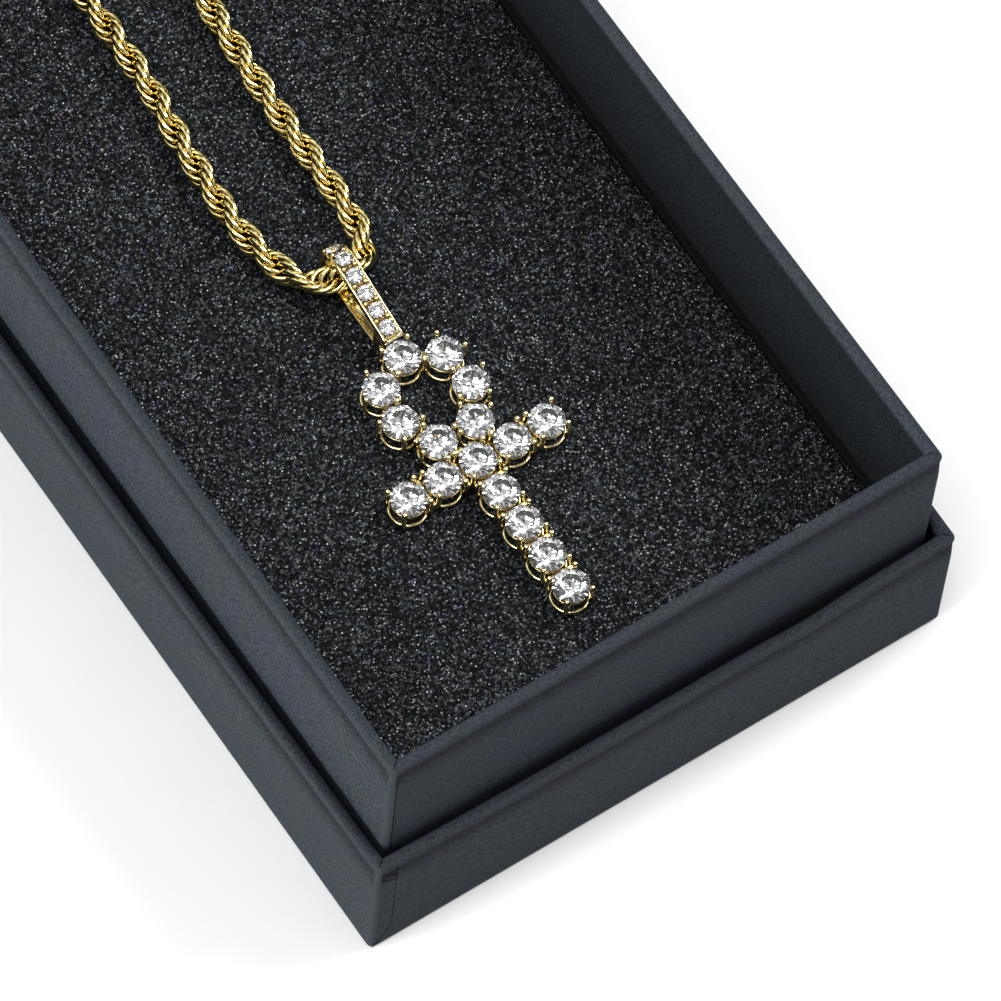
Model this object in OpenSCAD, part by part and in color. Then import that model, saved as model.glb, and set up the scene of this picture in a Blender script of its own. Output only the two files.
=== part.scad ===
// Ankh pendant on a rope chain, lying on the foam pad of an open rigid box that stands in its lid.
// Millimetres. X runs across the box, Y along it to the far end, Z up from under the lid.

/* [Large stones] */
// Diameter of each large round stone
stone_d = 3.95; // [3.7:0.05:4.1]
// Distance between the centres of neighbouring stones
pitch = 4.2; // [4.15:0.05:4.4]
// Height of the stones' girdles above the pad
girdle_h = 2.5; // [2.4:0.05:2.9]

/* [Settings] */
// Wire of the ring at the foot of each setting
base_wire_d = 0.6; // [0.5:0.05:0.7]
// Wire of the ring under each stone
seat_wire_d = 0.5; // [0.4:0.05:0.55]
// Mean radius of the ring at the foot
base_ring_r = 1.9; // [1.8:0.05:2]
// Mean radius of the ring under the stone
seat_ring_r = 1.85; // [1.8:0.05:1.9]
// How far the seat ring lies below the girdle
seat_drop = 0.8; // [0.75:0.05:1]
// Wire of a prong
prong_d = 0.5; // [0.4:0.05:0.6]
// Ball on the tip of a prong
ball_d = 0.6; // [0.5:0.05:0.65]
// Height of the ball's centre above the girdle
ball_rise = 0.45; // [0.4:0.05:0.6]
// Gap between a prong and its stone
prong_gap = 0.08; // [0.06:0.01:0.15]
// Gap between a neighbour's stone and the notch cut for it
notch_gap = 0.05; // [0.04:0.01:0.06]
// Thickness of the web between two settings, along the row
web_t = 0.6; // [0.5:0.05:0.8]
// Width of a web in the cross and the stem
web_w = 3.4; // [3:0.1:3.6]
// Width of a web in the loop
loop_web_w = 1.8; // [1.4:0.1:2.2]

/* [Bail] */
// Distance from the bail's pin to the centre of its rounded top
bail_length = 8.4; // [8:0.1:10]
// Inner diameter of the rounded top
bail_bore_d = 4.2; // [4:0.1:5]
// Thickness of the bail's front and top
bail_band_t = 0.8; // [0.7:0.05:1]
// Width of the bail's front and top
bail_w = 2.25; // [2.15:0.05:2.6]
// Width of the plain back strip
bail_back_w = 1.5; // [1.2:0.1:2]
// Thickness of the plain back strip
bail_back_t = 0.6; // [0.5:0.05:0.8]
// Angle at which the front rises towards the top
bail_rise = 13; // [11:1:15]
// Diameter of each small stone
bail_stone_d = 1.75; // [1.5:0.05:1.8]
// Distance between the centres of the small stones
bail_stone_pitch = 2.1; // [2.05:0.05:2.2]
// How far the lowest small stone lies past the pin
first_bail_seat = 0.85; // [0.6:0.05:1]
// Gap round each small stone
bail_stone_gap = 0.05; // [0.04:0.01:0.06]
// Bead between two small stones
bead_d = 0.44; // [0.3:0.02:0.5]
// Pin that the eye turns on
pin_d = 0.45; // [0.4:0.05:0.5]
// Wire of the eye soldered to the top setting
eye_wire_d = 0.4; // [0.3:0.05:0.5]
// Inner diameter of the eye
eye_bore_d = 0.8; // [0.75:0.05:0.9]
// Height of the eye above the pad
eye_h = 1.35; // [1.3:0.05:1.5]
// Gap on each side of the eye
eye_gap = 0.15; // [0.1:0.01:0.2]

/* [Chain] */
// Diameter of the rope chain
chain_d = 2.9; // [2.6:0.05:2.95]
// Diameter of the clasp
clasp_d = 3.4; // [3.2:0.1:3.6]
// Length of the clasp
clasp_l = 10; // [9:0.5:10]

/* [Box] */
// Width of the tray
tray_w = 66; // [64:1:72]
// Length of the tray
tray_l = 122; // [120:1:130]
// Height of the tray
tray_h = 33; // [28:1:40]
// Height of the lid
lid_h = 18; // [14:1:24]
// Thickness of the board
board_t = 1.5; // [1.2:0.1:2]
// Gap between the walls of the tray and the lid
lid_gap = 0.6; // [0.3:0.1:1]
// Radius of the upright outer corners
corner_r = 1; // [0.6:0.1:1.4]

/* [Pad] */
// Thickness of the foam pad
pad_t = 12.3; // [12:0.1:13]
// Height of the hollow under the pad's edges
under_h = 3.9; // [3.8:0.1:4.2]
// Width of the hollow along the sides and the near end
under_w = 7; // [6:0.5:7.5]
// Width of the hollow at the far end
under_far_w = 17; // [16:0.5:19]
// Width of each slot that the chain goes down through
slot_w = 3.5; // [3.3:0.1:3.8]
// Gap between the pad and the walls
pad_gap = 0.2; // [0.1:0.05:0.4]
// Gap between pieces that lie on each other
rest_gap = 0.1; // [0.08:0.02:0.15]

/* [Hidden] */
$fn = 48;

// Place of the centre stone in the box
pendant_at = [-1.1, -30];

// Columns of the seats: x and y in pitches from the centre stone, and the turn of the prongs
X = 0;
Y = 1;
TURN = 2;
RIGHT_ARM = [for (i = [1:2]) [i, 0, 45]];
LEFT_ARM = [for (i = [1:2]) [-i, 0, 45]];
STEM = [for (i = [1:4]) [0, -i, 45]];
CENTRE = [0, 0, 45];
// The loop from its top stone down the right side, then down the left side
LOOP = [
    [0, 3.28, 45],
    [0.92, 2.83, -12],
    [1.02, 1.83, 24],
    [0.535, 0.915, 12],
    [-0.92, 2.83, 11],
    [-1.02, 1.83, -24],
    [-0.535, 0.915, 11],
];
SEATS = concat([CENTRE], RIGHT_ARM, LEFT_ARM, STEM, LOOP);
// Rows of settings that are soldered to each other in turn
STRAIGHT_ROWS = [concat([CENTRE], RIGHT_ARM), concat([CENTRE], LEFT_ARM), concat([CENTRE], STEM)];
LOOP_ROW = [CENTRE, LOOP[3], LOOP[2], LOOP[1], LOOP[0], LOOP[4], LOOP[5], LOOP[6], CENTRE];

// Proportions of the round brilliant cut, as shares of the stone's radius
TABLE_SHARE = 0.57;
CROWN_SHARE = 0.3;
STAR_SHARE = 0.78;
GIRDLE_SHARE = 0.03;
PAVILION_SHARE = 0.86;
LOWER_SHARE = 0.24;

// Depth of the notch for a neighbour's girdle
notch_h = 0.34;
// Share of the small stone's radius that the bore under its pavilion has
BAIL_BORE_SHARE = 0.7;
// Depth of the wide part of a small stone's seat
bail_seat_depth = 0.3;
// Where the beads stand from the middle of the bail, as a share of its width
BEAD_SHARE = 0.28;
BAIL_STONES = 7;
// Sides of the swept tube that stands for the rope
TUBE_SIDES = 8;
// Length of each clasp collar
collar_l = 1.2;
// How much narrower the collars are than the clasp
collar_step = 0.5;
// Slack between the tube's two ends and the clasp
clasp_gap = 0.3;
// How far the bail's front runs past the pin
front_over = 0.5;
// How far the ears lie inside the bail's sides
ear_inset = 0.15;
// Gap between the top setting and the heel
heel_gap = 0.1;
// Length of the heel
heel_l = 1.6;
// How far the heel's foot is cut back, and how far below the eye its toe ends
toe_cut = 0.5;
toe_drop = 0.6;
// How far the pin stands out of each ear
pin_out = 0.1;
// How far a cutter reaches past what it cuts
over = 1;

tray_z = board_t + rest_gap;
pad_z = tray_z + board_t + rest_gap;
pad_top = pad_z + pad_t;
// Middle of each slot from the middle of the box, its near end and its length
slot_x = 5.5;
slot_y = 44;
slot_l = 8.6;

// Heights of the chain's middle: lying on the pad, and lying under it
lie = pad_top + rest_gap + chain_d / 2;
low = pad_z + chain_d / 2;
// How far each end of the chain's tube lies from the middle of the clasp
chain_end = clasp_l / 2 + clasp_gap;

// The chain's way, from the clasp round under the pad, up the right slot, through the bail,
// down the left slot and back to the clasp
ROUTE = [
    [chain_end, -56, low], [12, -56, low], [18, -56, low], [23, -56, low], [26.5, -54.5, low], [28, -51, low],
    [28, -42, low], [28, -33, low], [28, -24, low], [28, -15, low], [28, -6, low], [28, 3, low],
    [28, 12, low], [28, 21, low], [28, 30, low], [28, 40, low], [28, 51, low], [26.9, 55.2, low],
    [23.5, 57.2, low], [17.5, 57.5, low], [11.5, 57.5, low], [8, 56.4, low], [6.2, 54.6, 4.7],
    [5.5, 51.9, 5.3], [5.5, 50.6, 7], [5.5, 50.2, 9.8], [5.5, 49.6, 12.3], [5.5, 48.3, 14.7],
    [5.5, 46.6, 16.3], [5.5, 44.2, lie], [5.3, 39, lie], [5.1, 34, lie], [4.85, 28.5, lie],
    [4.5, 23, lie], [4.2, 18, lie], [4.05, 13.5, lie], [4.05, 9, lie], [4, 5, lie], [3.8, 0.8, lie],
    [3.2, -2.3, 17.2], [2, -4.2, 17.65], [0.5, -5, 18.1], [-1.1, -5.2, 18.15], [-2.9, -4.8, 18.1],
    [-4.6, -3.3, 17.5], [-5.8, -0.6, 17.1], [-6.55, 3, lie], [-6.85, 7, lie], [-6.65, 12, lie],
    [-6.4, 17, lie], [-5.8, 22, lie], [-5.5, 27, lie], [-5.4, 33, lie], [-5.4, 39, lie],
    [-5.5, 44.2, lie], [-5.5, 46.6, 16.3], [-5.5, 48.3, 14.7], [-5.5, 49.6, 12.3], [-5.5, 50.2, 9.8],
    [-5.5, 50.6, 7], [-5.5, 51.9, 5.3], [-6.2, 54.6, 4.7], [-8, 56.4, low], [-11.5, 57.5, low],
    [-17.5, 57.5, low], [-23.5, 57.2, low], [-26.9, 55.2, low], [-28, 51, low], [-28, 40, low],
    [-28, 30, low], [-28, 21, low], [-28, 9, low], [-28, -3, low], [-28, -15, low], [-28, -28, low],
    [-28, -40, low], [-28, -51, low], [-26.5, -54.5, low], [-23, -56, low], [-14, -56, low],
    [-chain_end, -56, low],
];

prong_r = stone_d / 2 + prong_gap + prong_d / 2;
base_outer_r = base_ring_r + base_wire_d / 2;
base_h = rest_gap + base_wire_d / 2;
seat_h = girdle_h - seat_drop;

// The eye stands just outside the top setting, and the bail's pin goes through it
eye_y = LOOP[0][Y] * pitch + base_outer_r + eye_bore_d / 2;
eye_mean_r = (eye_bore_d + eye_wire_d) / 2;
bail_top_r = bail_bore_d / 2 + bail_band_t;
bail_centre_y = eye_y + bail_length;
bail_centre_h = rest_gap + bail_top_r;
// Half the gap between the two ears of the bail
ear_in = eye_wire_d / 2 + eye_gap;
// Outer half width of the ears
ear_out = bail_w / 2 - ear_inset;
// The heel, which joins the front and the back of the bail, starts just past the top setting
heel_y = eye_y - eye_bore_d / 2 + heel_gap;
heel_slot_l = eye_bore_d + eye_wire_d + eye_gap;

LARGE_STONES = [
    "centre_stone",
    "right_arm_stone_1", "right_arm_stone_2",
    "left_arm_stone_1", "left_arm_stone_2",
    "stem_stone_1", "stem_stone_2", "stem_stone_3", "stem_stone_4",
    "loop_stone_1", "loop_stone_2", "loop_stone_3", "loop_stone_4",
    "loop_stone_5", "loop_stone_6", "loop_stone_7",
];
SMALL_STONES = [for (i = [1:BAIL_STONES]) str("bail_stone_", i)];

// Board box, open at the top, with rounded upright corners
module open_box(w, l, h) {
    difference() {
        rounded_block(w, l, h);
        translate([-w / 2 + board_t, -l / 2 + board_t, board_t])
            cube([w - 2 * board_t, l - 2 * board_t, h]);
    }
}

module rounded_block(w, l, h) {
    translate([-w / 2 + corner_r, -l / 2, 0]) cube([w - 2 * corner_r, l, h]);
    translate([-w / 2, -l / 2 + corner_r, 0]) cube([w, l - 2 * corner_r, h]);
    for (sx = [-1, 1], sy = [-1, 1])
        translate([sx * (w / 2 - corner_r), sy * (l / 2 - corner_r), 0]) cylinder(r = corner_r, h = h);
}

module box_lid() {
    side = lid_gap + board_t;
    color("#32363a") open_box(tray_w + 2 * side, tray_l + 2 * side, lid_h);
}

module box_tray() {
    color("#3a3e42") translate([0, 0, tray_z]) open_box(tray_w, tray_l, tray_h);
}

// Foam slab, hollowed under its edges for the hidden part of the chain
module foam_pad() {
    w = tray_w - 2 * (board_t + pad_gap);
    l = tray_l - 2 * (board_t + pad_gap);
    color("#17181b") difference() {
        translate([-w / 2, -l / 2, pad_z]) cube([w, l, pad_t]);
        difference() {
            translate([-w, -l, pad_z - over]) cube([2 * w, 2 * l, under_h + over]);
            translate([-w / 2 + under_w, -l / 2 + under_w, pad_z - 2 * over])
                cube([w - 2 * under_w, l - under_w - under_far_w, under_h + 3 * over]);
        }
        for (side = [-1, 1])
            translate([side * slot_x - slot_w / 2, slot_y, pad_z - over]) cube([slot_w, slot_l, pad_t + 2 * over]);
    }
}

function unit(v) = v / norm(v);

function heading(pts, i) = unit(pts[min(i + 1, len(pts) - 1)] - pts[max(i - 1, 0)]);

// Side vectors of the rings, each carried on from the ring before it
function carried(pts, i, side, found) =
    i == len(pts)
        ? found
        : let (t = heading(pts, i), s = unit(side - (side * t) * t)) carried(pts, i + 1, s, concat(found, [s]));

function tube_points(pts, r) =
    let (sides = carried(pts, 0, [0, 0, 1], []))
    [
        for (i = [0:len(pts) - 1], k = [0:TUBE_SIDES - 1])
            let (a = 360 * (k + 0.5) / TUBE_SIDES, s = sides[i])
            pts[i] + r * (cos(a) * s + sin(a) * cross(heading(pts, i), s))
    ];

function tube_faces(rings) =
    concat(
        [[for (k = [0:TUBE_SIDES - 1]) k]],
        [[for (k = [TUBE_SIDES - 1:-1:0]) (rings - 1) * TUBE_SIDES + k]],
        [
            for (i = [0:rings - 2], k = [0:TUBE_SIDES - 1])
                let (n = (k + 1) % TUBE_SIDES, a = i * TUBE_SIDES, b = a + TUBE_SIDES)
                [a + k, b + k, b + n, a + n]
        ]
    );

module rope_chain() {
    color("gold") polyhedron(tube_points(ROUTE, chain_d / 2), tube_faces(len(ROUTE)), convexity = 10);
}

// Plain barrel clasp between the two ends of the chain
module clasp() {
    color("gold") translate([0, ROUTE[0][Y], pad_z + clasp_d / 2]) rotate([0, 90, 0]) {
        cylinder(d = clasp_d, h = clasp_l - 2 * collar_l, center = true);
        cylinder(d = clasp_d - collar_step, h = clasp_l, center = true);
    }
}

// Round brilliant cut with its girdle at the origin, 8 main facets and a table
function polar(r, a, z) = [r * cos(a), r * sin(a), z];

function brilliant_points(r) =
    let (
        crown = r * CROWN_SHARE,
        girdle = r * GIRDLE_SHARE,
        table = r * TABLE_SHARE,
        depth = r * PAVILION_SHARE,
        star = r * STAR_SHARE,
        lower = r * LOWER_SHARE,
        star_z = crown - (star * cos(22.5) - table) * (crown - girdle) / (r - table),
        lower_z = -depth + lower * cos(22.5) * (depth - girdle) / r
    )
    concat(
        [for (i = [0:7]) polar(table, 45 * i, crown)],
        [for (i = [0:7]) polar(star, 45 * i + 22.5, star_z)],
        [for (i = [0:15]) polar(r, 22.5 * i, girdle)],
        [for (i = [0:15]) polar(r, 22.5 * i, -girdle)],
        [for (i = [0:7]) polar(lower, 45 * i + 22.5, lower_z)],
        [[0, 0, -depth]]
    );

BRILLIANT_FACES =
    let (table = 0, star = 8, upper = 16, under = 32, lower = 48, culet = 56)
    concat(
        [[for (i = [7:-1:0]) table + i]],
        [for (i = [0:7]) [table + i, table + (i + 1) % 8, star + i]],
        [for (i = [0:7]) [table + i, star + i, upper + 2 * i, star + (i + 7) % 8]],
        [for (i = [0:7]) [star + i, upper + 2 * i + 1, upper + 2 * i]],
        [for (i = [0:7]) [star + i, upper + (2 * i + 2) % 16, upper + 2 * i + 1]],
        [for (i = [0:15]) [upper + i, upper + (i + 1) % 16, under + (i + 1) % 16, under + i]],
        [for (i = [0:7]) [lower + i, under + 2 * i, under + 2 * i + 1]],
        [for (i = [0:7]) [lower + i, under + 2 * i + 1, under + (2 * i + 2) % 16]],
        [for (i = [0:7]) [culet, lower + (i + 7) % 8, under + 2 * i, lower + i]]
    );

module brilliant(d) {
    polyhedron(brilliant_points(d / 2), BRILLIANT_FACES);
}

// Puts its children at a height above the pad, in the pendant's own frame
module on_pendant(x, y, h) {
    translate([pendant_at[X] + x, pendant_at[Y] + y, pad_top + h]) children();
}

module at_seat(seat, h) {
    on_pendant(seat[X] * pitch, seat[Y] * pitch, h) rotate([0, 0, seat[TURN]]) children();
}

module large_stone(seat) {
    color("#eef2f6") at_seat(seat, girdle_h) rotate([0, 0, 22.5]) brilliant(stone_d);
}

module flat_ring(mean_r, wire_d) {
    difference() {
        cylinder(r = mean_r + wire_d / 2, h = wire_d, center = true);
        cylinder(r = mean_r - wire_d / 2, h = 2 * wire_d, center = true);
    }
}

// Two rings joined by four upright prongs
module setting(seat) {
    at_seat(seat, base_h) flat_ring(base_ring_r, base_wire_d);
    at_seat(seat, seat_h) flat_ring(seat_ring_r, seat_wire_d);
    for (a = [0:90:270]) at_seat(seat, base_h) rotate([0, 0, a]) translate([prong_r, 0, 0])
        cylinder(d = prong_d, h = girdle_h + ball_rise - base_h, $fn = 24);
}

module prong_balls(seat) {
    for (a = [0:90:270]) at_seat(seat, girdle_h + ball_rise) rotate([0, 0, a])
        translate([prong_r, 0, 0]) sphere(d = ball_d, $fn = 24);
}

// Upright web that solders two neighbouring settings together
module web(a, b, w) {
    mid = (a + b) * pitch / 2;
    on_pendant(mid[X], mid[Y], base_h) rotate([0, 0, atan2(b[Y] - a[Y], b[X] - a[X])])
        translate([-web_t / 2, -w / 2, 0]) cube([web_t, w, seat_h - base_h]);
}

// Eye at the top of the loop, on a short post from the top setting
module eye() {
    post_y = LOOP[0][Y] * pitch + seat_ring_r;
    on_pendant(0, eye_y, eye_h) rotate([0, 90, 0]) flat_ring(eye_mean_r, eye_wire_d);
    on_pendant(-eye_wire_d / 2, post_y, eye_h)
        cube([eye_wire_d, eye_y - eye_mean_r - post_y, seat_h - eye_h]);
}

// The settings are notched where a neighbour's girdle comes close to a prong
module ankh_frame() {
    color("gold") union() {
        difference() {
            union() {
                for (seat = SEATS) setting(seat);
                for (row = STRAIGHT_ROWS, i = [1:len(row) - 1]) web(row[i - 1], row[i], web_w);
                for (i = [1:len(LOOP_ROW) - 1]) web(LOOP_ROW[i - 1], LOOP_ROW[i], loop_web_w);
                eye();
            }
            for (seat = SEATS) at_seat(seat, girdle_h)
                cylinder(d = stone_d + 2 * notch_gap, h = notch_h, center = true);
        }
        for (seat = SEATS) prong_balls(seat);
    }
}

// Puts its children on the bail's outer face, u along it from where the front meets the round top
module on_bail(u) {
    turn = bail_rise - max(u, 0) * 180 / (PI * bail_top_r);
    on_pendant(0, bail_centre_y, bail_centre_h) rotate([turn, 0, 0])
        translate([0, min(u, 0), bail_top_r]) children();
}

function bail_seat(i) = first_bail_seat - bail_length + i * bail_stone_pitch;

module bail_stone(i) {
    color("#eef2f6") on_bail(bail_seat(i)) brilliant(bail_stone_d);
}

// Seat of a small stone: a wide bore for the girdle and a narrower one for the pavilion
module bail_seat_cut() {
    translate([0, 0, -bail_seat_depth])
        cylinder(d = bail_stone_d + 2 * bail_stone_gap, h = bail_seat_depth + over, $fn = 32);
    translate([0, 0, -2 * bail_band_t])
        cylinder(d = bail_stone_d * BAIL_BORE_SHARE, h = 2 * bail_band_t, $fn = 32);
}

module bail_front() {
    front_l = bail_length + front_over;
    on_pendant(0, bail_centre_y, bail_centre_h) rotate([bail_rise, 0, 0])
        translate([-bail_w / 2, -front_l, bail_top_r - bail_band_t]) cube([bail_w, front_l, bail_band_t]);
}

module bail_round_top() {
    on_pendant(0, bail_centre_y, bail_centre_h) rotate([90, 0, 90])
        rotate_extrude(angle = 180 + bail_rise, start = -90, $fn = 96)
            translate([bail_bore_d / 2, -bail_w / 2]) square([bail_band_t, bail_w]);
}

module bail_back() {
    on_pendant(-bail_back_w / 2, heel_y + heel_slot_l, rest_gap)
        cube([bail_back_w, bail_centre_y - heel_y - heel_slot_l, bail_back_t]);
}

// Heel with two ears, slotted for the eye, and the pin across the slot
module bail_heel() {
    // Height at which the heel runs into the front strip, over its two ends
    low_end = bail_centre_h - (bail_centre_y - heel_y) * tan(bail_rise) + bail_bore_d / 2 / cos(bail_rise);
    high_end = low_end + heel_l * tan(bail_rise);
    sunk = bail_band_t / 3;
    difference() {
        on_pendant(-ear_out, heel_y, 0) rotate([90, 0, 90]) linear_extrude(2 * ear_out)
            polygon([
                [toe_cut, rest_gap], [heel_l, rest_gap], [heel_l, high_end + sunk],
                [0, low_end + sunk], [0, eye_h - toe_drop],
            ]);
        on_pendant(-ear_in, heel_y - over, 0)
            cube([2 * ear_in, over + heel_slot_l, eye_h + eye_mean_r + eye_wire_d / 2 + eye_gap]);
    }
    on_pendant(-ear_out - pin_out, eye_y, eye_h) rotate([0, 90, 0])
        cylinder(d = pin_d, h = 2 * (ear_out + pin_out), $fn = 24);
}

module bail() {
    color("gold") difference() {
        union() {
            bail_front();
            bail_round_top();
            bail_back();
            bail_heel();
            for (i = [0:BAIL_STONES - 2], side = [-1, 1])
                on_bail(bail_seat(i) + bail_stone_pitch / 2)
                    translate([side * bail_w * BEAD_SHARE, 0, 0]) sphere(d = bead_d, $fn = 24);
        }
        for (i = [0:BAIL_STONES - 1]) on_bail(bail_seat(i)) bail_seat_cut();
    }
}

box_lid();
box_tray();
foam_pad();
rope_chain();
clasp();
ankh_frame();
bail();
for (i = [0:len(SEATS) - 1]) large_stone(SEATS[i]);
for (i = [0:BAIL_STONES - 1]) bail_stone(i);
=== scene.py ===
"""Looks of the ankh pendant necklace in its gift box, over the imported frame.

Lengths are in millimetres in the script and become metres in the meshes.
"""
import math

import bpy
import numpy as np
from mathutils import Matrix, Vector


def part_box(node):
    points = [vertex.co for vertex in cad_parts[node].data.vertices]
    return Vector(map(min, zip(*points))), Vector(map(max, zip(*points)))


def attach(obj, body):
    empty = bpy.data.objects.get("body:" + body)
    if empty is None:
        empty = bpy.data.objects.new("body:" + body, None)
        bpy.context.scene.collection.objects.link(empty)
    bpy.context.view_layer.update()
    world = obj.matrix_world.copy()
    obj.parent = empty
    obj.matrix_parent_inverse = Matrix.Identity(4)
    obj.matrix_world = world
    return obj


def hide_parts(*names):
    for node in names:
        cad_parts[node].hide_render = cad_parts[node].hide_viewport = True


MM = 0.001
SEED = 11

# Rounding of small blocks: place of its middle ring, least corner radius and steps round a corner
BEVEL_PART = 0.3
LEAST_BEVEL = 0.01
BEVEL_STEPS = 2

# Camera, fitted to the stones and the box's edges in the photograph
CAMERA_AZIMUTH = 40.412
CAMERA_ELEVATION = 62.85
CAMERA_ROLL = 7.409
CAMERA_AIM = (-1.776, -35.07, 18.0)
CAMERA_DISTANCE = 998.24
CAMERA_LENS = 356.42
SENSOR_WIDTH = 36.0

# Pad and box
PAD_TOP = 15.5
PAD_FOOT = 3.2
PAD_HOLLOW_TOP = 7.1
PAD_HALF_W = 31.3
PAD_HALF_L = 59.3
PAD_BLOCK_X = 24.3
PAD_BLOCK_Y = (-52.3, 42.3)
SLOT_X = (3.75, 7.25)
SLOT_Y = (44.0, 52.6)
BOARD_T = 1.5
TRAY_SIZE = (66.0, 122.0)
TRAY_Z = (1.6, 34.6)
LID_SIZE = (70.2, 126.2)
LID_Z = (0.0, 18.0)

# Settings of the large stones; a ring is its circle's radius, its wire's radius and its height
BASE_RING = (1.97, 0.19, 15.82)
SEAT_RING = (1.76, 0.14, 17.3)
RING_STEPS = (48, 12)
RING_FOOT = 15.6
PRONG_R = 2.305
PRONG_WIRE = 0.25
PRONG_BALL = 0.34
PRONG_SIDES = 14
BALL_Z = 18.45
BALL_LEAN = 0.08
BALL_TIP_R = 0.004
# Arc of the ball from where it meets the prong to its top, in degrees
BALL_FROM = -60
BALL_SWEEP = 150
BALL_STEPS = 7
# Prong below its ball: radius, height and lean over the stone
PRONG_STEM = [
    (0.12, RING_FOOT, 0.0),
    (PRONG_WIRE, RING_FOOT + 0.1, 0.0),
    (PRONG_WIRE, 17.0, 0.0),
    (PRONG_WIRE, 17.9, 0.0),
    (PRONG_WIRE * 0.94, BALL_Z - 0.24, 0.03),
]
# Webs that join two settings
WEB_FOOT = RING_FOOT + 0.3
WEB_TOP = 17.2
WEB_T = 0.6
WEB_ROUND = 0.12
STRAIGHT_WEB_W = 3.4
LOOP_WEB_W = 1.8

# Eye that the bail hangs on, and the post under it
EYE_AT = (-1.1, -13.624, 16.85)
EYE_MEAN_R = 0.6
EYE_WIRE = 0.2
EYE_STEPS = (32, 12)
POST_OVERLAP = 0.1
POST_ROUND = 0.05

# Bail, with its rise in degrees
BAIL_X = -1.1
BAIL_CENTRE_Y = -5.224
BAIL_CENTRE_Z = 18.5
BAIL_TOP_R = 2.9
BAIL_T = 0.8
BAIL_W = 2.25
BAIL_RISE = 13.0
BAIL_FRONT_L = 8.9
BAIL_BACK_W = 2.0
BAIL_BACK_T = 0.6
BAIL_BACK_ROUND = 0.07
BAIL_FOOT_Z = 15.6
HEEL_Y = -13.924
HEEL_L = 1.6
HEEL_SLOT_L = 1.35
HEEL_SLOT_DROP = 0.06
EAR_OUT = 0.975
EAR_IN = 0.35
EAR_FOOT_Y = 0.5
EAR_FRONT_Z = 16.25
EAR_REACH = 0.26
PIN_R = 0.225
PIN_PROUD = 0.1
PIN_ROUND = 0.05
PIN_POLE_R = 0.01
PIN_SIDES = 20
# Small stones along the bail, counted along its outer face, and the beads between them
FIRST_SEAT = -7.55
SEAT_PITCH = 2.1
BAIL_STONE_R = 0.875
BEAD_X = 0.66
BEAD_R = 0.25
BEAD_SINK = 0.02
BEAD_ARC = 1.55
BEAD_STEPS = 11
BEAD_SIDES = 16
# Outer face of the bail: its lips, the rails along its sides and the valleys between the stones
LIP_W = 0.04
LIP_H = 0.06
FACE_SINK = 0.04
RAIL_H = 0.1
RAIL_FROM = 0.9
RAIL_SLOPE = 0.12
VALLEY_DEPTH = 0.3
VALLEY_HALF_W = 0.88
BAND_ROUND = 0.08
END_VALLEY = 0.4
# Points of the band's mesh: along its front, along its plain stretch, and across its face
FRONT_STEPS = 24
PLAIN_STEPS = 16
PLAIN_COLS = 13
END_COLS = 15
# Face round each small stone: its rings, as shares of the way from the hole out to the tile's edge
TILE_RINGS = (1.0, 0.84, 0.68, 0.52, 0.36, 0.18, 0.0)
TILE_HOLE_R = BAIL_STONE_R + 0.04
TILE_STEPS = 64
# Bore under each small stone: radius and height against the outer face
BORE = [
    (BAIL_STONE_R + 0.03, -0.2),
    (BAIL_STONE_R + 0.03, -0.34),
    (0.62, -0.38),
    (0.55, -0.74),
    (0.01, -0.76),
]

# Rope chain: its middle's height on the pad and under it, and its ends
LIE = 17.05
LOW = 4.65
CHAIN_END = 5.3
ROUTE = [
    (CHAIN_END, -56, LOW), (12, -56, LOW), (18, -56, LOW), (23, -56, LOW), (26.5, -54.5, LOW),
    (28, -51, LOW), (28, -42, LOW), (28, -33, LOW), (28, -24, LOW), (28, -15, LOW), (28, -6, LOW),
    (28, 3, LOW), (28, 12, LOW), (28, 21, LOW), (28, 30, LOW), (28, 40, LOW), (28, 51, LOW),
    (26.9, 55.2, LOW), (23.5, 57.2, LOW), (17.5, 57.5, LOW), (11.5, 57.5, LOW), (8, 56.4, LOW),
    (6.2, 54.6, 4.7), (5.5, 51.9, 5.3), (5.5, 50.6, 7), (5.5, 50.2, 9.8), (5.5, 49.6, 12.3),
    (5.5, 48.3, 14.7), (5.5, 46.6, 16.3), (5.5, 44.2, LIE), (5.3, 39, LIE), (5.1, 34, LIE),
    (4.85, 28.5, LIE), (4.5, 23, LIE), (4.2, 18, LIE), (4.05, 13.5, LIE), (4.05, 9, LIE),
    (4, 5, LIE), (3.8, 0.8, LIE), (3.2, -2.3, 17.2), (2, -4.2, 17.65), (0.5, -5, 18.1),
    (-1.1, -5.2, 18.15), (-2.9, -4.8, 18.1), (-4.6, -3.3, 17.5), (-5.8, -0.6, 17.1),
    (-6.55, 3, LIE), (-6.85, 7, LIE), (-6.65, 12, LIE), (-6.4, 17, LIE), (-5.8, 22, LIE),
    (-5.5, 27, LIE), (-5.4, 33, LIE), (-5.4, 39, LIE), (-5.5, 44.2, LIE), (-5.5, 46.6, 16.3),
    (-5.5, 48.3, 14.7), (-5.5, 49.6, 12.3), (-5.5, 50.2, 9.8), (-5.5, 50.6, 7), (-5.5, 51.9, 5.3),
    (-6.2, 54.6, 4.7), (-8, 56.4, LOW), (-11.5, 57.5, LOW), (-17.5, 57.5, LOW), (-23.5, 57.2, LOW),
    (-26.9, 55.2, LOW), (-28, 51, LOW), (-28, 40, LOW), (-28, 30, LOW), (-28, 21, LOW),
    (-28, 9, LOW), (-28, -3, LOW), (-28, -15, LOW), (-28, -28, LOW), (-28, -40, LOW),
    (-28, -51, LOW), (-26.5, -54.5, LOW), (-23, -56, LOW), (-14, -56, LOW), (-CHAIN_END, -56, LOW),
]
ROUTE_STEP = 0.1
STEPS_PER_SPAN = 40
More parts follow.
